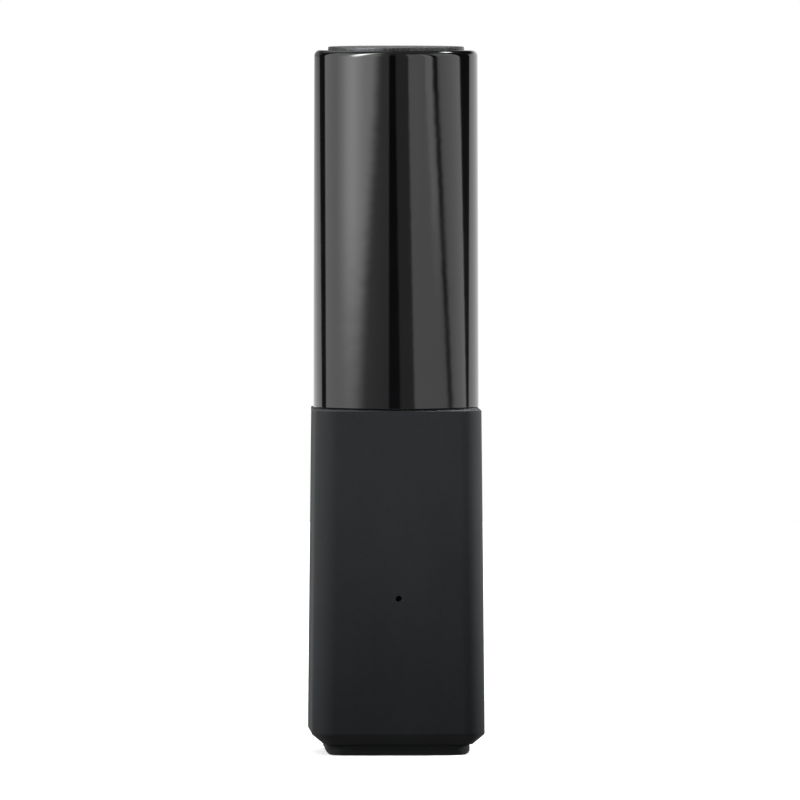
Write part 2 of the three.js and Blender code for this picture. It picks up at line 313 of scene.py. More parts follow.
class Finish(Protocol):
    """Anything that can dress a piece."""

    slot: Slot

    def surface(self, graph: Graph) -> Shell:
        """The finish's colour, roughness and bump, as nodes."""


def material_of(finish: Finish) -> bpy.types.Material:
    """Makes a finish into a material.

    Args:
        finish: the finish.

    Returns:
        A material named after the finish's slot.
    """
    material = bpy.data.materials.new(finish.slot.value)
    material.use_nodes = True
    graph = Graph(material.node_tree)
    shell = finish.surface(graph)
    shader = graph.node(
        "ShaderNodeBsdfPrincipled",
        sockets={
            "Base Color": shell.colour,
            "Roughness": shell.roughness,
            "Metallic": shell.metallic,
            "Normal": shell.normal,
            **shell.fixed,
        },
    )
    graph.node("ShaderNodeOutputMaterial", sockets={"Surface": shader})
    return material


@dataclass(frozen=True)
class SoftTouch:
    """Rubbery matte paint: a fine grain, slightly burnished along the upright corners."""

    slot: Slot = Slot.SOFT_TOUCH
    dark: Colour = (0.0070, 0.0074, 0.0080)
    light: Colour = (0.0140, 0.0147, 0.0154)
    roughness: float = 0.68
    specular: float = 0.05
    sheen: float = 0.02
    sheen_roughness: float = 0.5
    cloud: float = 6 * MM
    cloud_stretch: Stretch = (1, 1, 2.2)
    mottle: float = 0.5 * MM
    mottle_share: float = 0.5
    mottle_roughness: float = 0.10
    grain: float = 0.11 * MM
    grain_depth: float = 5 * MICRON
    corner_band: Band = (8.4 * MM, 9.3 * MM)
    rub: float = 1.4 * MM
    rub_share: float = 0.5
    rub_shine: float = 0.12

    def surface(self, graph: Graph) -> Shell:
        """The finish's colour, roughness and bump, as nodes.

        Args:
            graph: the material's nodes.

        Returns:
            What the shader is given.
        """
        x, y, _ = graph.axes(graph.place())
        rub = graph.step(graph.math(Op.MINIMUM, abs(x), abs(y)), *self.corner_band)
        rub = rub * graph.noise(self.rub, FINEST_DETAIL)
        cloud = graph.noise(self.cloud, FINE_DETAIL, self.cloud_stretch)
        mottle = graph.noise(self.mottle, FINE_DETAIL, seed=4.0)
        grain = graph.noise(self.grain, FINE_DETAIL)
        lightness = cloud * (1 - self.mottle_share) + mottle * self.mottle_share
        colour = graph.mix_colour(lightness, opaque(self.dark), opaque(self.light))
        colour = graph.mix_colour(rub * self.rub_share, colour, opaque(self.light))
        roughness = self.roughness + mottle * self.mottle_roughness - rub * self.rub_shine
        fixed = {
            "Specular IOR Level": self.specular,
            "Sheen Weight": self.sheen,
            "Sheen Roughness": self.sheen_roughness,
        }
        height = grain + mottle * self.mottle_share
        return Shell(colour, roughness, graph.bump(height, self.grain_depth), fixed=fixed)


@dataclass(frozen=True)
class GlossLacquer:
    """Piano-black lacquer: deep and clear, with faint hairlines and the slightest orange peel."""

    slot: Slot = Slot.GLOSS
    deep: Colour = (0.0009, 0.0009, 0.0011)
    tint: Colour = (0.0018, 0.0018, 0.0021)
    roughness: float = 0.025
    cloud: float = 5 * MM
    cloud_roughness: float = 0.02
    hairline: float = 0.09 * MM
    hairline_stretch: Stretch = (1, 1, 45)
    hairline_band: Band = (0.66, 0.76)
    crossing: float = 0.12 * MM
    crossing_stretch: Stretch = (14, 14, 1)
    crossing_band: Band = (0.70, 0.80)
    patch: float = 9 * MM
    patch_band: Band = (0.45, 0.65)
    scratch_roughness: float = 0.05
    scratch_depth: float = 0.08
    peel: float = 2.6 * MM
    peel_depth: float = 1.2 * MICRON

    def surface(self, graph: Graph) -> Shell:
        """The finish's colour, roughness and bump, as nodes.

        Args:
            graph: the material's nodes.

        Returns:
            What the shader is given.
        """
        hairline = graph.noise(self.hairline, PLAIN_DETAIL, self.hairline_stretch)
        crossing = graph.noise(self.crossing, PLAIN_DETAIL, self.crossing_stretch, seed=7.0)
        patch = graph.step(graph.noise(self.patch, SOFT_DETAIL, seed=2.0), *self.patch_band)
        scratches = graph.step(hairline, *self.hairline_band) + graph.step(crossing, *self.crossing_band)
        scratches = scratches * patch
        cloud = graph.noise(self.cloud, FINE_DETAIL)
        colour = graph.mix_colour(cloud, opaque(self.deep), opaque(self.tint))
        roughness = self.roughness + cloud * self.cloud_roughness + scratches * self.scratch_roughness
        height = graph.noise(self.peel, PLAIN_DETAIL, seed=3.0) - scratches * self.scratch_depth
        return Shell(colour, roughness, graph.bump(height, self.peel_depth))


@dataclass(frozen=True)
class SpunDisc:
    """Dark anodised metal, spun so that fine rings run round its middle."""

    slot: Slot = Slot.DISC
    dark: Colour = (0.022, 0.023, 0.025)
    light: Colour = (0.105, 0.107, 0.110)
    metallic: float = 0.85
    roughness: float = 0.34
    ring: float = 0.06 * MM
    ring_roughness: float = 0.12
    ring_depth: float = 3 * MICRON
    speck: float = 0.22 * MM
    speck_band: Band = (0.36, 0.64)
    speck_share: float = 0.6
    speck_roughness: float = 0.08

    def surface(self, graph: Graph) -> Shell:
        """The finish's colour, roughness and bump, as nodes.

        Args:
            graph: the material's nodes.

        Returns:
            What the shader is given.
        """
        rings = graph.line_noise(graph.radius(), self.ring)
        speck = graph.step(graph.noise(self.speck, SOFT_DETAIL), *self.speck_band)
        lightness = rings * (1 - self.speck_share) + speck * self.speck_share
        colour = graph.mix_colour(lightness, opaque(self.dark), opaque(self.light))
        roughness = self.roughness + rings * self.ring_roughness + speck * self.speck_roughness
        height = rings + speck * self.speck_share
        return Shell(colour, roughness, graph.bump(height, self.ring_depth), self.metallic)


@dataclass(frozen=True)
class TurnedMetal:
    """Metal with lines round its axis from the lathe or the drawing die."""

    slot: Slot
    dark: Colour
    light: Colour
    roughness: float
    line: float = 0.05 * MM
    line_depth: float = 0.7 * MICRON
    line_roughness: float = 0.07
    smear: float = 3 * MM
    smear_stretch: Stretch = (1, 1, 0.4)
    smear_share: float = 0.4
    smear_roughness: float = 0.05
    rub: float = 0.07 * MM
    rub_stretch: Stretch = (1, 1, 30)
    rub_band: Band = (0.64, 0.74)
    rub_roughness: float = 0.05
    rub_depth: float = 0.3

    def surface(self, graph: Graph) -> Shell:
        """The finish's colour, roughness and bump, as nodes.

        Args:
            graph: the material's nodes.

        Returns:
            What the shader is given.
        """
        _, _, z = graph.axes(graph.place())
        lines = graph.line_noise(z, self.line)
        smear = graph.noise(self.smear, FINE_DETAIL, self.smear_stretch)
        rub = graph.step(graph.noise(self.rub, PLAIN_DETAIL, self.rub_stretch, seed=5.0), *self.rub_band)
        lightness = lines * (1 - self.smear_share) + smear * self.smear_share
        colour = graph.mix_colour(lightness, opaque(self.dark), opaque(self.light))
        roughness = self.roughness + lines * self.line_roughness + smear * self.smear_roughness
        roughness = roughness + rub * self.rub_roughness
        return Shell(colour, roughness, graph.bump(lines - rub * self.rub_depth, self.line_depth), 1.0)


@dataclass(frozen=True)
class Moulded:
    """Injection-moulded plastic or rubber: a spark-eroded grain and faint flow marks."""

    slot: Slot
    dark: Colour
    light: Colour
    roughness: float
    grain: float = 0.14 * MM
    grain_share: float = 0.3
    grain_roughness: float = 0.10
    grain_depth: float = 2.5 * MICRON
    flow: float = 2.5 * MM
    flow_stretch: Stretch = (1, 1, 4)
    flow_roughness: float = 0.04

    def surface(self, graph: Graph) -> Shell:
        """The finish's colour, roughness and bump, as nodes.

        Args:
            graph: the material's nodes.

        Returns:
            What the shader is given.
        """
        flow = graph.noise(self.flow, FINE_DETAIL, self.flow_stretch)
        grain = graph.noise(self.grain, FINE_DETAIL)
        lightness = flow * (1 - self.grain_share) + grain * self.grain_share
        colour = graph.mix_colour(lightness, opaque(self.dark), opaque(self.light))
        roughness = self.roughness + grain * self.grain_roughness + flow * self.flow_roughness
        return Shell(colour, roughness, graph.bump(grain, self.grain_depth))


@dataclass(frozen=True)
class Wax:
    """Lipstick wax: creamy, satin, with a faint bloom and the mould's soft unevenness."""

    slot: Slot = Slot.WAX
    deep: Colour = (0.300, 0.012, 0.022)
    pale: Colour = (0.380, 0.024, 0.034)
    roughness: float = 0.30
    specular: float = 0.45
    bloom: float = 2.2 * MM
    bloom_roughness: float = 0.12
    fine: float = 0.20 * MM
    fine_share: float = 0.3
    fine_roughness: float = 0.08
    fine_depth: float = 0.10
    swell: float = 3.5 * MM
    swell_depth: float = 14 * MICRON

    def surface(self, graph: Graph) -> Shell:
        """The finish's colour, roughness and bump, as nodes.

        Args:
            graph: the material's nodes.

        Returns:
            What the shader is given.
        """
        bloom = graph.noise(self.bloom, FINEST_DETAIL)
        fine = graph.noise(self.fine, FINE_DETAIL, seed=2.0)
        swell = graph.noise(self.swell, PLAIN_DETAIL, seed=6.0)
        paleness = bloom * (1 - self.fine_share) + fine * self.fine_share
        colour = graph.mix_colour(paleness, opaque(self.deep), opaque(self.pale))
        roughness = self.roughness + bloom * self.bloom_roughness + fine * self.fine_roughness
        bump = graph.bump(swell + fine * self.fine_depth, self.swell_depth)
        return Shell(colour, roughness, bump, fixed={"Specular IOR Level": self.specular})


@dataclass(frozen=True)
class ShadeLabel:
    """Coated paper with a ring of the lipstick's colour round a blank middle."""

    slot: Slot = Slot.PAPER
    paper: Colour = (0.70, 0.68, 0.64)
    thread: Colour = (0.45, 0.43, 0.40)
    shade: Colour = (0.300, 0.012, 0.022)
    ring_from: float = 4.4 * MM
    ring_to: float = 5.7 * MM
    edge: float = 0.05 * MM
    roughness: float = 0.5
    ink_shine: float = 0.1
    fibre: float = 0.10 * MM
    fibre_stretch: Stretch = (1, 3, 1)
    fibre_share: float = 0.12
    fibre_roughness: float = 0.15
    fibre_depth: float = 3 * MICRON

    def surface(self, graph: Graph) -> Shell:
        """The finish's colour, roughness and bump, as nodes.

        Args:
            graph: the material's nodes.

        Returns:
            What the shader is given.
        """
        radius = graph.radius()
        ink = graph.step(radius, self.ring_from, self.ring_from + self.edge)
        ink = ink * (1 - graph.step(radius, self.ring_to - self.edge, self.ring_to))
        fibre = graph.noise(self.fibre, FINEST_DETAIL, self.fibre_stretch)
        colour = graph.mix_colour(fibre * self.fibre_share, opaque(self.paper), opaque(self.thread))
        colour = graph.mix_colour(ink, colour, opaque(self.shade))
        roughness = self.roughness + fibre * self.fibre_roughness - ink * self.ink_shine
        return Shell(colour, roughness, graph.bump(fibre, self.fibre_depth))


@dataclass(frozen=True)
class StudioFloor:
    """A pale painted board."""

    slot: Slot = Slot.PAPER
    pale: Colour = (0.90, 0.90, 0.90)
    shade: Colour = (0.88, 0.88, 0.88)
    lift: float = 0.25
    specular: float = 0.1
    roughness: float = 0.7
    roll: float = 3 * MM
    roll_roughness: float = 0.1
    roll_depth: float = 5 * MICRON

    def surface(self, graph: Graph) -> Shell:
        """The finish's colour, roughness and bump, as nodes.

        Args:
            graph: the material's nodes.

        Returns:
            What the shader is given.
        """
        roll = graph.noise(self.roll, SOFT_DETAIL)
        colour = graph.mix_colour(roll, opaque(self.pale), opaque(self.shade))
        fixed = {"Specular IOR Level": self.specular, "Emission Strength": self.lift}
        roughness = self.roughness + roll * self.roll_roughness
        return Shell(colour, roughness, graph.bump(roll, self.roll_depth), fixed=fixed)


SOFT_TOUCH = SoftTouch()
GLOSS = GlossLacquer()
DISC = SpunDisc()
LABEL = ShadeLabel()
WAX = Wax()
ALUMINIUM = TurnedMetal(Slot.ALUMINIUM, (0.70, 0.71, 0.73), (0.86, 0.87, 0.88), 0.13)
STEEL = TurnedMetal(Slot.STEEL, (0.36, 0.36, 0.37), (0.56, 0.56, 0.57), 0.30, 0.12 * MM, 2 * MICRON)
BLACK_PLASTIC = Moulded(Slot.BLACK_PLASTIC, (0.008, 0.008, 0.009), (0.014, 0.014, 0.015), 0.40)
NATURAL_PLASTIC = Moulded(Slot.NATURAL_PLASTIC, (0.66, 0.64, 0.58), (0.74, 0.72, 0.66), 0.34)
SILICONE = Moulded(Slot.SILICONE, (0.50, 0.51, 0.52), (0.60, 0.61, 0.62), 0.45, 0.3 * MM)


# ---- meshes ----


def rounded(
    corners: Sequence[ProfileCorner],
    cyclic: bool,
    steps: int = FILLET_STEPS,
) -> list[ProfilePoint]:
    """Rounds the corners of a profile.

    Args:
        corners: each corner's distance from the axis, its height and its fillet radius.
        cyclic: whether the profile closes on itself.
        steps: how many edges each fillet has.

    Returns:
        The profile's points, with an arc at each corner that has a radius.
    """
    points: list[ProfilePoint] = []
    count = len(corners)
    for i, (across, height, radius) in enumerate(corners):
        here = Vector((across, height))
        ends = not cyclic and i in (0, count - 1)
        if ends or radius <= 0:
            points.append((across, height))
            continue
        back = Vector(corners[i - 1][:2]) - here
        ahead = Vector(corners[(i + 1) % count][:2]) - here
        half_angle = back.angle(ahead) / 2
        longest = FILLET_SHARE * min(back.length, ahead.length)
        reach = min(radius / math.tan(half_angle), longest)
        radius = reach * math.tan(half_angle)
        inwards = (back.normalized() + ahead.normalized()).normalized()
        middle = here + inwards * (radius / math.sin(half_angle))
        start = here + back.normalized() * reach - middle
        turn = start.angle_signed(here + ahead.normalized() * reach - middle)
        for k in range(steps + 1):
            spoke = Matrix.Rotation(-turn * k / steps, 2) @ start
            points.append(tuple(middle + spoke))
    return points


def object_from(name: str, bm: bmesh.types.BMesh) -> bpy.types.Object:
    """Makes a bmesh into an object.

    Args:
        name: the piece's name.
        bm: its faces. It is freed.

    Returns:
        The object, with its faces pointing outwards.
    """
    bmesh.ops.recalc_face_normals(bm, faces=bm.faces)
    mesh = bpy.data.meshes.new(name)
    bm.to_mesh(mesh)
    bm.free()
    made = bpy.data.objects.new(name, mesh)
    bpy.context.scene.collection.objects.link(made)
    return made


def smooth(piece: bpy.types.Object) -> bpy.types.Object:
    """Shades a piece smooth, with crisp edges marked and flat faces kept flat.

    Args:
        piece: the piece.

    Returns:
        The same piece.
    """
    piece.data.polygons.foreach_set("use_smooth", [True] * len(piece.data.polygons))
    piece.data.set_sharp_from_angle(angle=SHARP_ANGLE)
    weighted = piece.modifiers.new("flat_faces", "WEIGHTED_NORMAL")
    weighted.keep_sharp = True
    weighted.weight = FLAT_FACE_WEIGHT
    return piece


def skinned(rings: Sequence[Ring], cyclic: bool) -> bmesh.types.BMesh:
    """Joins rings of points with faces.

    Args:
        rings: rings with the same number of points, or a single point for a pole.
        cyclic: whether the last ring joins back to the first.

    Returns:
        A closed bmesh.
    """
    bm = bmesh.new()
    made = [[bm.verts.new(point) for point in ring] for ring in rings]
    following = made[1:] + made[:1] if cyclic else made[1:]
    for near, far in zip(made, following):
        for i in range(max(len(near), len(far))):
            first, second = near[i % len(near)], near[(i + 1) % len(near)]
            third, fourth = far[(i + 1) % len(far)], far[i % len(far)]
            bm.faces.new(dict.fromkeys((first, second, third, fourth)))
    return bm


def circle(radius: float, height: float, segments: int = ROUND_SEGMENTS) -> Ring:
    """A ring round the axis.

    Args:
        radius: its radius.
        height: its height.
        segments: how many points it has.

    Returns:
        The ring, which is one point where there is no radius.
    """
    if radius <= 0:
        return [Vector((0, 0, height))]
    angles = (2 * math.pi * i / segments for i in range(segments))
    return [Vector((radius * math.cos(a), radius * math.sin(a), height)) for a in angles]


def turned(
    name: str,
    corners: Sequence[ProfileCorner],
    segments: int = ROUND_SEGMENTS,
) -> bpy.types.Object:
    """Turns a profile round the axis.

    Args:
        name: the piece's name.
        corners: the profile, which starts and ends on the axis or closes on itself.
        segments: how many faces go round.

    Returns:
        The turned object.
    """
    cyclic = corners[0][0] > 0
    rings = [circle(across, height, segments) for across, height in rounded(corners, cyclic)]
    return object_from(name, skinned(rings, cyclic))


@dataclass(frozen=True)
class SquareSection:
    """A rounded square whose points match those of a circle, so that one can run into the other."""

    side_steps: int = 14
    corner_steps: int = 14

    def square(self, half: float, corner: float, height: float) -> Ring:
        """A rounded square's ring.

        Args:
            half: half its width.
            corner: the radius of its corners.
            height: its height.

        Returns:
            The ring, anticlockwise from above.
        """
        ring: Ring = []
        for quarter in range(4):
            turn = Matrix.Rotation(quarter * math.pi / 2, 3, "Z")
            inset = half - corner
            for i in range(self.corner_steps + 1):
                a = (i / self.corner_steps) * math.pi / 2
                point = Vector((inset + corner * math.cos(a), inset + corner * math.sin(a), height))
                ring.append(turn @ point)
            for i in range(1, self.side_steps):
                along = inset * (1 - 2 * i / self.side_steps)
                ring.append(turn @ Vector((along, half, height)))
        return ring

    def circle(self, radius: float, height: float, like: Ring) -> Ring:
        """A circle's ring, with a point in the direction of each point of another ring."""
        lift = Vector((0, 0, height))
        return [Vector((point.x, point.y, 0)).normalized() * radius + lift for point in like]


SQUARE = SquareSection()


def flattened(piece: bpy.types.Object) -> bpy.types.Object:
    """Works out a piece's modifiers and leaves it a plain mesh.

    Args:
        piece: an object with modifiers.

    Returns:
        The same object, with the result as its mesh and no modifiers.
    """
    bpy.context.view_layer.update()
    evaluated = piece.evaluated_get(bpy.context.evaluated_depsgraph_get())
    mesh = bpy.data.meshes.new_from_object(evaluated)
    mesh.name = piece.name
    piece.modifiers.clear()
    piece.data = mesh
    return piece


def cut(piece: bpy.types.Object, tool: bpy.types.Object) -> bpy.types.Object:
    """Takes a tool's shape out of a piece, and removes the tool.

    Args:
        piece: the piece to cut.
        tool: the shape to take out.

    Returns:
        The cut piece.
    """
    boolean = piece.modifiers.new("cut", "BOOLEAN")
    boolean.operation = "DIFFERENCE"
    boolean.solver = "EXACT"
    boolean.object = tool
    flattened(piece)
    bpy.data.objects.remove(tool)
    return piece


def joined(piece: bpy.types.Object, *others: bpy.types.Object) -> bpy.types.Object:
    """Adds other objects' faces to a piece, and removes those objects.

    Args:
        piece: the piece to add to.
        others: the objects whose faces it takes.

    Returns:
        The same piece.
    """
    bm = bmesh.new()
    bm.from_mesh(piece.data)
    for other in others:
        bm.from_mesh(other.data)
        bpy.data.objects.remove(other)
    bm.to_mesh(piece.data)
    bm.free()
    return piece


def hand_over(piece: bpy.types.Object, finish: Finish, body: Body, *nodes: str) -> bpy.types.Object:
    """Dresses a new piece and gives it to the frame.

    Args:
        piece: the piece.
        finish: its finish.
        body: the body it rides on.
        nodes: the frame's nodes that it stands for.

    Returns:
        The piece.
    """
    piece.data.materials.clear()
    piece.data.materials.append(DRESSED[finish.slot])
    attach(piece, body.value)
    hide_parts(*nodes)
    LOG.info("%s rides on %s with %d faces", piece.name, body.value, len(piece.data.polygons))
    return piece


def dress_node(node: str, finish: Finish) -> None:
    """Gives one of the frame's own nodes a finish.

    Args:
        node: the node's name.
        finish: its finish.
    """
    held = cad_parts[node]
    if held.material_slots:
        for material_slot in held.material_slots:
            material_slot.material = DRESSED[finish.slot]
    else:
        held.data.materials.append(DRESSED[finish.slot])
    LOG.info("%s keeps its shape and wears %s", node, finish.slot.value)


DRESSED: dict[Slot, bpy.types.Material] = {}


# ---- sub-assemblies ----


@dataclass
class Base:
    """The square matte base: its sleeve, foot and label, and what the sleeve hides."""

    top_half: float = 9.43 * MM
    corner: float = 2.6 * MM
    cut_in: float = 1.38 * MM
    cut_up: float = 1.15 * MM
    cut_soft: float = 0.35 * MM
    top_edge: float = 0.07 * MM
    cavity_half: float = 8.3 * MM
    cavity_corner: float = 1.7 * MM
    top_wall: float = 1.4 * MM
    mouth: float = 8.25 * MM
    mouth_chamfer: float = 0.1 * MM
    hole: float = 0.33 * MM
    hole_flare: float = 0.07 * MM
    hole_height: float = 17.8 * MM
    hole_depth: float = 3 * MM
    hole_overshoot: float = 1 * MM
    hole_segments: int = 48
    foot_half: float = 8.13 * MM
    foot_edge: float = 0.95 * MM
    foot_height: float = 1.25 * MM
    foot_inset: float = 0.3 * MM
    foot_chamfer: float = 0.12 * MM
    plug_gap: float = 0.15 * MM
    recess: float = 6.2 * MM
    recess_depth: float = 0.35 * MM
    recess_land: float = 0.3 * MM
    label_edge: float = 0.04 * MM

    def sleeve(self) -> bpy.types.Object:
        """The tapered outer sleeve, open below, with a round mouth above and a small hole in front.

        Returns:
            The sleeve.
        """
        low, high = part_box("body_sleeve")
        outside = rounded(
            [
                (high.x - self.cut_in, low.z, 0),
                (high.x, low.z + self.cut_up, self.cut_soft),
                (self.top_half, high.z, self.top_edge),
                (self.top_half - self.corner / 3, high.z, 0),
            ],
            cyclic=False,
        )
        slope = (high.x - self.top_half) / (high.z - low.z)
        rings = []
        for half, z in outside:
            side = high.x - slope * (z - low.z)
            rings.append(SQUARE.square(half, self.corner - max(0.0, side - half), z))
        flat = rings[-1]
        ceiling = high.z - self.top_wall
        rings.append(SQUARE.circle(self.mouth + self.mouth_chamfer, high.z, flat))
        rings.append(SQUARE.circle(self.mouth, high.z - self.mouth_chamfer, flat))
        rings.append(SQUARE.circle(self.mouth, ceiling, flat))
        rings.append(SQUARE.square(self.cavity_half, self.cavity_corner, ceiling))
        rings.append(SQUARE.square(self.cavity_half, self.cavity_corner, low.z))
        made = object_from("sleeve", skinned(rings, cyclic=True))
        return smooth(cut(made, self.hole_tool(high.x - slope * (self.hole_height - low.z))))

    def hole_tool(self, face: float) -> bpy.types.Object:
        """The shape of the small front hole, flared where it meets the sleeve's face.

        Args:
            face: how far the face stands from the axis at the hole's height.

        Returns:
            The shape to cut out.
        """
        inner, outer = face - self.hole_depth, face + self.hole_overshoot
        flared = self.hole + self.hole_flare
        corners = [
            (0, inner, 0),
            (self.hole, inner, 0),
            (self.hole, face - self.hole_flare, 0),
            (flared, face, 0),
            (flared, outer, 0),
            (0, outer, 0),
        ]
        tool = turned("hole_tool", corners, self.hole_segments)
        lift = Matrix.Translation((0, 0, self.hole_height))
        tool.data.transform(lift @ Matrix.Rotation(math.pi / 2, 4, "X"))
        return tool

    def foot(self) -> bpy.types.Object:
        """The inset foot, with a rounded lower edge and a round recess for the label.

        Returns:
            The foot.
        """
        low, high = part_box("foot_plug")
        corner = self.corner - self.foot_inset
        plug_corner = self.cavity_corner - self.plug_gap
        lip = self.foot_chamfer
        flare = rounded(
            [
                (self.recess + self.recess_land, low.z, 0),
                (self.foot_half, low.z, self.foot_edge),
                (self.foot_half, self.foot_height, 0),
            ],
            cyclic=False,
        )
        squares = [SQUARE.square(half, corner - (self.foot_half - half), z) for half, z in flare]
        like = squares[0]
        rings = [
            [Vector((0, 0, self.recess_depth))],
            SQUARE.circle(self.recess - lip, self.recess_depth, like),
            SQUARE.circle(self.recess, self.recess_depth - lip, like),
            SQUARE.circle(self.recess, low.z + lip, like),
            SQUARE.circle(self.recess + lip, low.z, like),
            *squares,
            SQUARE.square(high.x, plug_corner, self.foot_height),
            SQUARE.square(high.x, plug_corner, high.z - lip),
            SQUARE.square(high.x - lip, plug_corner - lip, high.z),
            [Vector((0, 0, high.z))],
        ]
        return smooth(object_from("foot", skinned(rings, cyclic=False)))

    def label(self) -> bpy.types.Object:
        """The round shade label under the foot.

        Returns:
            The label.
        """
        low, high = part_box("shade_label")
        edge = self.label_edge
        corners = [(0, low.z, 0), (high.x, low.z, edge), (high.x, high.z, edge), (0, high.z, 0)]
        return smooth(turned("label", corners))

    def build(self) -> None:
        """Builds and dresses the base."""
        hand_over(self.sleeve(), SOFT_TOUCH, Body.BASE, "body_sleeve")
        hand_over(self.foot(), SOFT_TOUCH, Body.BASE, "foot_plug")
        hand_over(self.label(), LABEL, Body.BASE, "shade_label")
        dress_node("base_liner", BLACK_PLASTIC)
        dress_node("base_weight", STEEL)
        dress_node("fork_tube", NATURAL_PLASTIC)
        dress_node("brake_ring", SILICONE)


@dataclass
class Neck:
    """The bright tube that is turned by hand, over its screw cam."""

    wall: float = 0.25 * MM
    rim_bore: float = 6.35 * MM
    rim_height: float = 0.4 * MM
    groove_height: float = 43.6 * MM
    groove_depth: float = 0.1 * MM
    groove_half: float = 0.5 * MM
    groove_floor_half: float = 0.2 * MM
    groove_round: float = 0.15 * MM
    foot_round: float = 0.05 * MM
    rim_round: float = 0.3 * MM
    rim_bore_round: float = 0.18 * MM
    rim_foot_round: float = 0.12 * MM
    bore_round: float = 0.1 * MM

    def tube(self) -> bpy.types.Object:
        """The drawn tube, with a rolled rim above and a click groove below.

        Returns:
            The tube.
        """
        low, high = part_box("neck_shell")
        outer, inner = high.x, high.x - self.wall
        middle, deep = self.groove_height, outer - self.groove_depth
        corners = [
            (inner, low.z, self.foot_round),
            (outer, low.z, self.foot_round),
            (outer, middle - self.groove_half, self.groove_round),
            (deep, middle - self.groove_floor_half, self.groove_round),
            (deep, middle + self.groove_floor_half, self.groove_round),
            (outer, middle + self.groove_half, self.groove_round),
            (outer, high.z, self.rim_round),
            (self.rim_bore, high.z, self.rim_bore_round),
            (self.rim_bore, high.z - self.rim_height, self.rim_foot_round),
            (inner, high.z - self.rim_height, self.bore_round),
        ]
        return smooth(turned("neck_tube", corners))

    def build(self) -> None:
        """Builds and dresses the neck."""
        hand_over(self.tube(), ALUMINIUM, Body.NECK, "neck_shell")
        dress_node("spiral_cam", BLACK_PLASTIC)


@dataclass
class Carrier:
    """The cup that the mechanism lifts, and the wax bullet in it."""

    wall: float = 0.35 * MM
    floor: float = 0.6 * MM
    foot_round: float = 0.25 * MM
    lip_round: float = 0.14 * MM
    floor_round: float = 0.1 * MM
    pin: float = 0.75 * MM
    pin_height: float = 1.5 * MM
    pin_root: float = 0.1 * MM
    pin_round: float = 0.12 * MM
    pin_segments: int = 32
    bullet_foot_round: float = 0.2 * MM
    tip_round: float = 2.2 * MM
    tip_steps: int = 16
    slant: float = math.radians(47)
    slant_back: float = 2.4 * MM
    slant_edge: float = 0.55 * MM
    slant_steps: int = 8

    def cup(self) -> bpy.types.Object:
        """The cup, with a soft upper lip and two pins.

        Returns:
            The cup.
        """
        low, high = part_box("carrier_cup")
        outer = high.y
        inner = outer - self.wall
        corners = [
            (0, low.z, 0),
            (outer, low.z, self.foot_round),
            (outer, high.z, self.lip_round),
            (inner, high.z, self.lip_round),
            (inner, low.z + self.floor, self.floor_round),
            (0, low.z + self.floor, 0),
        ]
        cup = turned("cup", corners)
        return smooth(joined(cup, *(self.pin_at(side, inner, high.x) for side in (-1, 1))))

    def pin_at(self, side: int, start: float, end: float) -> bpy.types.Object:
        """One of the cup's two pins, which points out along X.

        Args:
            side: 1 for the pin on the right, -1 for the one on the left.
            start: how far from the axis the cup's wall begins.
            end: how far from the axis the pin ends.

        Returns:
            The pin.
        """
        low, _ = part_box("carrier_cup")
        root = start + self.pin_root
        corners = [(0, root, 0), (self.pin, root, 0), (self.pin, end, self.pin_round), (0, end, 0)]
        made = turned("pin", corners, self.pin_segments)
        turn = Matrix.Rotation(side * math.pi / 2, 4, "Y")
        made.data.transform(Matrix.Translation((0, 0, low.z + self.pin_height)) @ turn)
        return made

    def bullet(self) -> bpy.types.Object:
        """The wax bullet: a round stick whose domed end is cut at a slant, with a soft edge.

        Returns:
            The bullet.
        """
        low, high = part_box("bullet")
        corners = [
            (0, low.z, 0),
            (high.x, low.z, self.bullet_foot_round),
            (high.x, high.z, self.tip_round),
            (0, high.z, 0),
        ]
        profile = rounded(corners, cyclic=False, steps=self.tip_steps)
        bm = skinned([circle(across, z) for across, z in profile], cyclic=False)
        facing = Vector((0, -math.sin(self.slant), math.cos(self.slant)))
        result = bmesh.ops.bisect_plane(
            bm,
            geom=[*bm.verts, *bm.edges, *bm.faces],
            dist=PLANE_TOLERANCE,
            plane_co=(0, self.slant_back, high.z),
            plane_no=facing,
            clear_outer=True,
        )
        rim = [item for item in result["geom_cut"] if isinstance(item, bmesh.types.BMEdge)]
        bmesh.ops.edgeloop_fill(bm, edges=rim)
        bmesh.ops.bevel(
            bm,
            geom=rim,
            offset=self.slant_edge,
            segments=self.slant_steps,
            profile=0.5,
            affect="EDGES",
        )
        bmesh.ops.remove_doubles(bm, verts=bm.verts, dist=MICRON)
        return smooth(object_from("lipstick", bm))

    def build(self) -> None:
        """Builds and dresses the carrier."""
        hand_over(self.cup(), NATURAL_PLASTIC, Body.CARRIER, "carrier_cup")
        hand_over(self.bullet(), WAX, Body.CARRIER, "bullet")


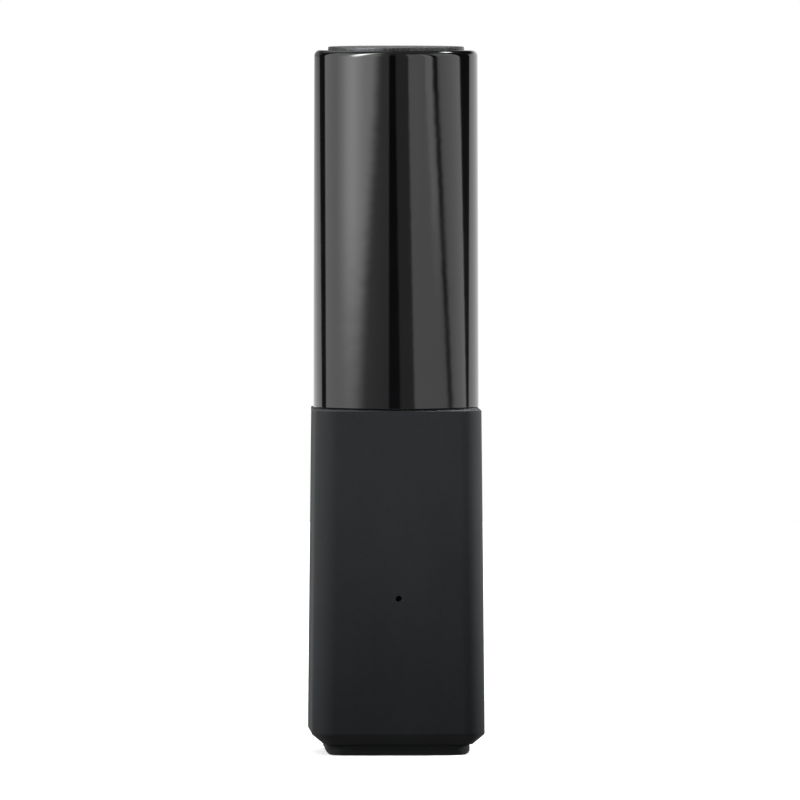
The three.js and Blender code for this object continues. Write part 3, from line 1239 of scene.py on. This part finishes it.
@dataclass
class GripRibs:
    """Upright half-round ribs inside the cap's liner, which pinch the neck."""

    count: int = 8
    reach: float = 7.75 * MM
    width: float = 0.56 * MM
    low: float = 41.4 * MM
    high: float = 52.0 * MM
    sides: int = 16

    def tree(
        self,
        material: bpy.types.Material,
    ) -> tuple[bpy.types.GeometryNodeTree, dict[str, object]]:
        """The node tree that adds the ribs to the liner it is given.

        Args:
            material: what the liner and its ribs wear.

        Returns:
            The tree, and the value of each of its modifier's inputs by socket identifier.
        """
        tree = bpy.data.node_groups.new("grip_ribs", "GeometryNodeTree")
        graph = Graph(tree)
        tree.interface.new_socket("Liner", in_out="INPUT", socket_type="NodeSocketGeometry")
        tree.interface.new_socket("Ribbed", in_out="OUTPUT", socket_type="NodeSocketGeometry")
        sizes = {
            "Count": ("NodeSocketInt", self.count),
            "Circle radius": ("NodeSocketFloat", self.reach + self.width / 2),
            "Rib sides": ("NodeSocketInt", self.sides),
            "Rib radius": ("NodeSocketFloat", self.width / 2),
            "Rib length": ("NodeSocketFloat", self.high - self.low),
            "Middle height": ("NodeSocketFloat", (self.high + self.low) / 2),
            "Finish": ("NodeSocketMaterial", material),
        }
        values = {}
        for name, (kind, value) in sizes.items():
            made = tree.interface.new_socket(name, in_out="INPUT", socket_type=kind)
            values[made.identifier] = value
        given = graph.node("NodeGroupInput").outputs
        places = {"Vertices": given["Count"], "Radius": given["Circle radius"]}
        ring = graph.node("GeometryNodeMeshCircle", sockets=places)
        lift = graph.node("ShaderNodeCombineXYZ", sockets={"Z": given["Middle height"]})
        raised = graph.node("GeometryNodeTransform", sockets={"Geometry": ring, "Translation": lift})
        shape = {
            "Vertices": given["Rib sides"],
            "Radius": given["Rib radius"],
            "Depth": given["Rib length"],
        }
        rib = graph.node("GeometryNodeMeshCylinder", sockets=shape)
        ribs = graph.node("GeometryNodeInstanceOnPoints", sockets={"Points": raised, "Instance": rib})
        both = graph.node("GeometryNodeJoinGeometry", sockets={0: given["Liner"]})
        tree.links.new(ribs.outputs[0], both.inputs[0])
        solid = graph.node("GeometryNodeRealizeInstances", sockets={0: both})
        dressed = {"Geometry": solid, "Material": given["Finish"]}
        worn = graph.node("GeometryNodeSetMaterial", sockets=dressed)
        graph.node("NodeGroupOutput", sockets={0: worn})
        return tree, values

    def add_to(self, liner: bpy.types.Object, material: bpy.types.Material) -> bpy.types.Object:
        """Adds the ribs to a liner and leaves it a plain mesh.

        Args:
            liner: the liner.
            material: what the liner and its ribs wear.

        Returns:
            The liner with its ribs.
        """
        ribs = liner.modifiers.new("grip_ribs", "NODES")
        ribs.node_group, values = self.tree(material)
        for identifier, value in values.items():
            ribs[identifier] = value
        return flattened(liner)


@dataclass
class Cap:
    """The tall gloss cap, with its liner and the disc let into its top."""

    mouth_radius: float = 9.39 * MM
    top_radius: float = 9.26 * MM
    bore: float = 8.55 * MM
    ceiling: float = 78.0 * MM
    top_edge: float = 0.9 * MM
    ceiling_round: float = 0.3 * MM
    bore_round: float = 0.1 * MM
    mouth_round: float = 0.14 * MM
    recess_gap: float = 0.08 * MM
    recess_floor: float = 79.15 * MM
    recess_rim_round: float = 0.06 * MM
    recess_floor_round: float = 0.05 * MM
    liner_bore: float = 7.9 * MM
    liner_top_wall: float = 0.5 * MM
    liner_round: float = 0.4 * MM
    liner_mouth_round: float = 0.06 * MM
    flare_out: float = 0.2 * MM
    flare_up: float = 0.6 * MM
    flare_round: float = 0.2 * MM
    disc_foot_round: float = 0.05 * MM
    disc_rim_round: float = 0.12 * MM
    ribs: GripRibs = field(default_factory=GripRibs)

    def shell(self) -> bpy.types.Object:
        """The outer cap: a slightly tapered tube with a rounded shoulder and a recess on top.

        Returns:
            The outer cap.
        """
        low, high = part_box("cap_shell")
        _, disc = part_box("cap_top_disc")
        recess = disc.x + self.recess_gap
        corners = [
            (0, self.ceiling, 0),
            (self.bore, self.ceiling, self.ceiling_round),
            (self.bore, low.z, self.bore_round),
            (self.mouth_radius, low.z, self.mouth_round),
            (self.top_radius, high.z, self.top_edge),
            (recess, high.z, self.recess_rim_round),
            (recess, self.recess_floor, self.recess_floor_round),
            (0, self.recess_floor, 0),
        ]
        return smooth(turned("cap_body", corners, SMOOTH_SEGMENTS))

    def liner(self) -> bpy.types.Object:
        """The inner cap, with its grip ribs.

        Returns:
            The inner cap.
        """
        low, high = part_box("cap_liner")
        roof = high.z - self.liner_top_wall
        corners = [
            (0, roof, 0),
            (self.liner_bore, roof, self.liner_round),
            (self.liner_bore, low.z + self.flare_up, self.flare_round),
            (self.liner_bore + self.flare_out, low.z, self.liner_mouth_round),
            (high.x, low.z, self.liner_mouth_round),
            (high.x, high.z, self.liner_round),
            (0, high.z, 0),
        ]
        made = turned("cap_inner", corners)
        return smooth(self.ribs.add_to(made, DRESSED[BLACK_PLASTIC.slot]))

    def disc(self) -> bpy.types.Object:
        """The thin disc on top, which stands a little proud.

        Returns:
            The disc.
        """
        low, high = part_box("cap_top_disc")
        corners = [
            (0, low.z, 0),
            (high.x, low.z, self.disc_foot_round),
            (high.x, high.z, self.disc_rim_round),
            (0, high.z, 0),
        ]
        return smooth(turned("cap_disc", corners, SMOOTH_SEGMENTS))

    def build(self) -> None:
        """Builds and dresses the cap."""
        hand_over(self.shell(), GLOSS, Body.CAP, "cap_shell")
        hand_over(self.liner(), BLACK_PLASTIC, Body.CAP, "cap_liner")
        hand_over(self.disc(), DISC, Body.CAP, "cap_top_disc")


# ---- studio ----


@dataclass(frozen=True)
class Edge:
    """One upright edge of a panel: its bearing, its softness and the degrees it moves per degree up."""

    bearing: float
    soft: float = 3.0
    lean: float = 0.0


@dataclass(frozen=True)
class Panel:
    """A soft panel round the object, between two bearings in degrees, positive to the camera's right.

    Its level runs from the left edge to the right one. climb is the share it gains for each degree up.
    A panel with a fade only comes in between two heights in degrees. It goes out between those of top.
    """

    left: Edge
    right: Edge
    level: float
    right_level: float
    climb: float = 0.0
    fade: tuple[float, float] | None = None
    top: tuple[float, float] = (40.0, 65.0)


@dataclass(frozen=True)
class Glow:
    """A soft oval light high up: its bearing, its rise, its reach each way in degrees and its level."""

    bearing: float
    rise: float
    wide: float
    tall: float
    level: float


@dataclass(frozen=True)
class Lamp:
    """A soft box a little way off, which lights only what is matte.

    Its bearing, its rise and the spread of its light are in degrees. It is aimed at a height on the axis.
    """

    name: str
    bearing: float
    rise: float
    size: tuple[float, float]
    radiance: float
    spread: float
    aim: float = 0.036
    distance: float = 0.20


@dataclass
class Studio:
    """A pale floor, a ring of soft panels, soft boxes, a light overhead and the camera.

    Bearings are in degrees from the camera's own one, positive to its right. Bands and rises are in degrees.
    """

    bearing: float = -2.0
    elevation: float = 2.1
    lens: float = 800.0
    sensor: float = 36.0
    frame_width: float = 90.72 * MM
    aside: float = 0.45 * MM
    down: float = 0.07 * MM
    nearest: float = 0.1
    farthest: float = 20.0
    floor_radius: float = 0.6
    backdrop: float = 1.0
    overhead: float = 0.25
    overhead_band: Band = (30.0, 60.0)
    surround: float = 0.02
    panel_foot: Band = (-30.0, -12.0)
    underfoot: float = 0.45
    underfoot_band: Band = (-35.0, -12.0)
    fill: float = 0.36
    fill_band: Band = (-15.0, 15.0)
    lean_limit: float = 0.75
    lean_middle: float = -1.42
    panels: tuple[Panel, ...] = (
        Panel(Edge(-200), Edge(-132.4, 3, -10.7), 0.8, 0.8, -0.8, top=(9, 22)),
        Panel(Edge(-117.4, 3, -5.2), Edge(-58, 36), 1.35, 2.3),
        Panel(Edge(-78, 34), Edge(-46, 18, 25), 2.6, 2.6, 0.0, (-0.45, 0.3)),
        Panel(Edge(-66, 30), Edge(-9.8, 3), 0.66, 0.44, 0.33),
        Panel(Edge(4, 3, -6), Edge(23.2, 3, -8), 0.31, 0.31, 0.12),
        Panel(Edge(23.2, 3, -8), Edge(68.8, 4, -22), 1.5, 1.3, 0.1),
        Panel(Edge(58, 2, -22), Edge(68.8, 4, -22), 0.8, 0.8, 0.0, (-0.1, 0.4)),
        Panel(Edge(76.8, 5, -22), Edge(109.5, 3, -11.5), 1.35, 1.75, 0.15),
        Panel(Edge(125, 4, 4.4), Edge(200), 1.15, 1.15, top=(9, 22)),
    )
    glows: tuple[Glow, ...] = (
        Glow(bearing=-61, rise=46, wide=15, tall=48, level=26),
        Glow(bearing=140, rise=50, wide=8, tall=6.5, level=50),
        Glow(bearing=-160, rise=42, wide=30, tall=26, level=1),
    )
    lamps: tuple[Lamp, ...] = (
        Lamp("front_box", bearing=0, rise=20, size=(0.05, 0.03), radiance=2.05, spread=19, aim=0.033),
        Lamp("left_box", bearing=-92, rise=7, size=(0.04, 0.04), radiance=5, spread=30),
        Lamp("right_box", bearing=108, rise=7, size=(0.04, 0.04), radiance=20, spread=30),
        Lamp("back_box", bearing=182, rise=20, size=(0.05, 0.03), radiance=2, spread=22),
    )
    sky: float = 2.3
    sky_width: float = math.radians(30)

    def towards(self, bearing: float, rise: float) -> Vector:
        """The direction at a bearing from the front and a rise above level, both in degrees."""
        turn, lift = math.radians(bearing), math.radians(rise)
        return Vector((math.sin(turn) * math.cos(lift), -math.cos(turn) * math.cos(lift), math.sin(lift)))

    def camera(self) -> bpy.types.Object:
        """The camera, a long way off with a long lens.

        Returns:
            The camera.
        """
        data = bpy.data.cameras.new("camera")
        data.lens = self.lens
        data.sensor_width = self.sensor
        distance = self.lens * self.frame_width / self.sensor
        data.clip_start = self.nearest * distance
        data.clip_end = self.farthest * distance
        made = bpy.data.objects.new("camera", data)
        low, high = CAD_BOX
        back = self.towards(self.bearing, self.elevation)
        right = Vector((-back.y, back.x, 0)).normalized()
        target = (low + high) / 2 + right * self.aside - Vector((0, 0, self.down))
        made.location = target + back * distance
        made.rotation_euler = (-back).to_track_quat("-Z", "Y").to_euler()
        bpy.context.scene.collection.objects.link(made)
        bpy.context.scene.camera = made
        return made

    def floor(self) -> bpy.types.Object:
        """The pale round floor.

        Returns:
            The floor.
        """
        rings = [circle(0, 0), circle(self.floor_radius, 0)]
        made = object_from("floor", skinned(rings, cyclic=False))
        made.data.materials.append(material_of(StudioFloor()))
        made.visible_diffuse = False
        made.visible_glossy = False
        return made

    def lamp(self, lamp: Lamp) -> bpy.types.Object:
        """Sets up one soft box, hidden from the camera.

        Args:
            lamp: where it stands, its size and how bright its face is.

        Returns:
            The light.
        """
        data = bpy.data.lights.new(lamp.name, "AREA")
        data.shape = "RECTANGLE"
        data.size, data.size_y = lamp.size
        data.energy = lamp.radiance * math.pi * lamp.size[0] * lamp.size[1]
        data.spread = math.radians(lamp.spread)
        made = bpy.data.objects.new(lamp.name, data)
        aim = Vector((0, 0, lamp.aim))
        back = self.towards(lamp.bearing + self.bearing, lamp.rise)
        made.location = aim + back * lamp.distance
        made.rotation_euler = (-back).to_track_quat("-Z", "Y").to_euler()
        made.visible_camera = False
        made.visible_glossy = False
        bpy.context.scene.collection.objects.link(made)
        return made

    def sky_light(self) -> bpy.types.Object:
        """A wide light from straight above, for the floor.

        Returns:
            The light.
        """
        data = bpy.data.lights.new("sky", "SUN")
        data.energy = self.sky
        data.angle = self.sky_width
        made = bpy.data.objects.new("sky", data)
        made.location = (0, 0, 1)
        made.visible_glossy = False
        bpy.context.scene.collection.objects.link(made)
        return made

    def world(self) -> None:
        """The soft panels all round, and plain white behind for the camera."""
        world = bpy.data.worlds.new("studio")
        world.use_nodes = True
        bpy.context.scene.world = world
        graph = Graph(world.node_tree)
        x, y, z = graph.axes(graph.node("ShaderNodeTexCoord").outputs["Generated"])
        degree = math.degrees(1.0)
        bearing = graph.math(Op.ARCTAN2, x, 0 - y) * degree - self.bearing
        rise = graph.math(Op.ARCSINE, z) * degree
        lean = rise - self.lean_middle
        lean = graph.math(Op.MINIMUM, graph.math(Op.MAXIMUM, lean, -self.lean_limit), self.lean_limit)
        level: Value = 0.0
        for panel in self.panels:
            lit = self.panel_level(graph, panel, bearing, lean)
            level = level + lit * (1 - graph.step(rise, *panel.top))
        for glow in self.glows:
            across = (bearing - glow.bearing) / glow.wide
            up = (rise - glow.rise) / glow.tall
            reach = graph.math(Op.SQRT, across * across + up * up)
            level = level + glow.level * (1 - graph.step(reach, 0.0, 1.0))
        above = graph.step(rise, *self.overhead_band)
        level = level * graph.step(rise, *self.panel_foot)
        level = level + self.surround * (1 - above) + self.overhead * above
        level = level + self.underfoot * (1 - graph.step(rise, *self.underfoot_band))
        path = graph.node("ShaderNodeLightPath")
        is_camera, is_diffuse = graph.out(path, "Is Camera Ray"), graph.out(path, "Is Diffuse Ray")
        bounce = self.fill * (1 - graph.step(rise, *self.fill_band))
        shown = level * (1 - is_camera - is_diffuse) + self.backdrop * is_camera + bounce * is_diffuse
        white = {"Color": opaque((1, 1, 1)), "Strength": shown}
        background = graph.node("ShaderNodeBackground", sockets=white)
        graph.node("ShaderNodeOutputWorld", sockets={"Surface": background})

    def panel_level(self, graph: Graph, panel: Panel, bearing: Signal, lean: Signal) -> Signal:
        """How bright one panel is.

        Args:
            graph: the world's nodes.
            panel: the panel.
            bearing: the bearing looked at, in degrees.
            lean: how far up it is, in degrees from the middle of the view.

        Returns:
            The panel's level, 0 outside it.
        """
        left = bearing - panel.left.bearing - lean * panel.left.lean
        right = bearing - panel.right.bearing - lean * panel.right.lean
        band = graph.step(left, -panel.left.soft / 2, panel.left.soft / 2)
        band = band * (1 - graph.step(right, -panel.right.soft / 2, panel.right.soft / 2))
        width = panel.right.bearing - panel.left.bearing
        level = panel.level + left * ((panel.right_level - panel.level) / width)
        if panel.climb:
            level = level * (1 + lean * panel.climb)
        if panel.fade:
            level = level * graph.step(lean, *panel.fade)
        return level * band

    def build(self) -> None:
        """Sets up the whole studio."""
        bpy.context.scene.view_settings.view_transform = "Standard"
        self.camera()
        self.floor()
        self.world()
        self.sky_light()
        for lamp in self.lamps:
            self.lamp(lamp)


def main() -> None:
    logging.basicConfig(level=logging.INFO, format="%(message)s")
    for finish in (
        SOFT_TOUCH, GLOSS, DISC, LABEL, WAX, ALUMINIUM, STEEL, BLACK_PLASTIC, NATURAL_PLASTIC, SILICONE
    ):
        DRESSED[finish.slot] = material_of(finish)
    for part in (Base(), Neck(), Carrier(), Cap(), Studio()):
        part.build()
        LOG.info("%s is built", type(part).__name__)


if __name__ == "__main__":
    main()
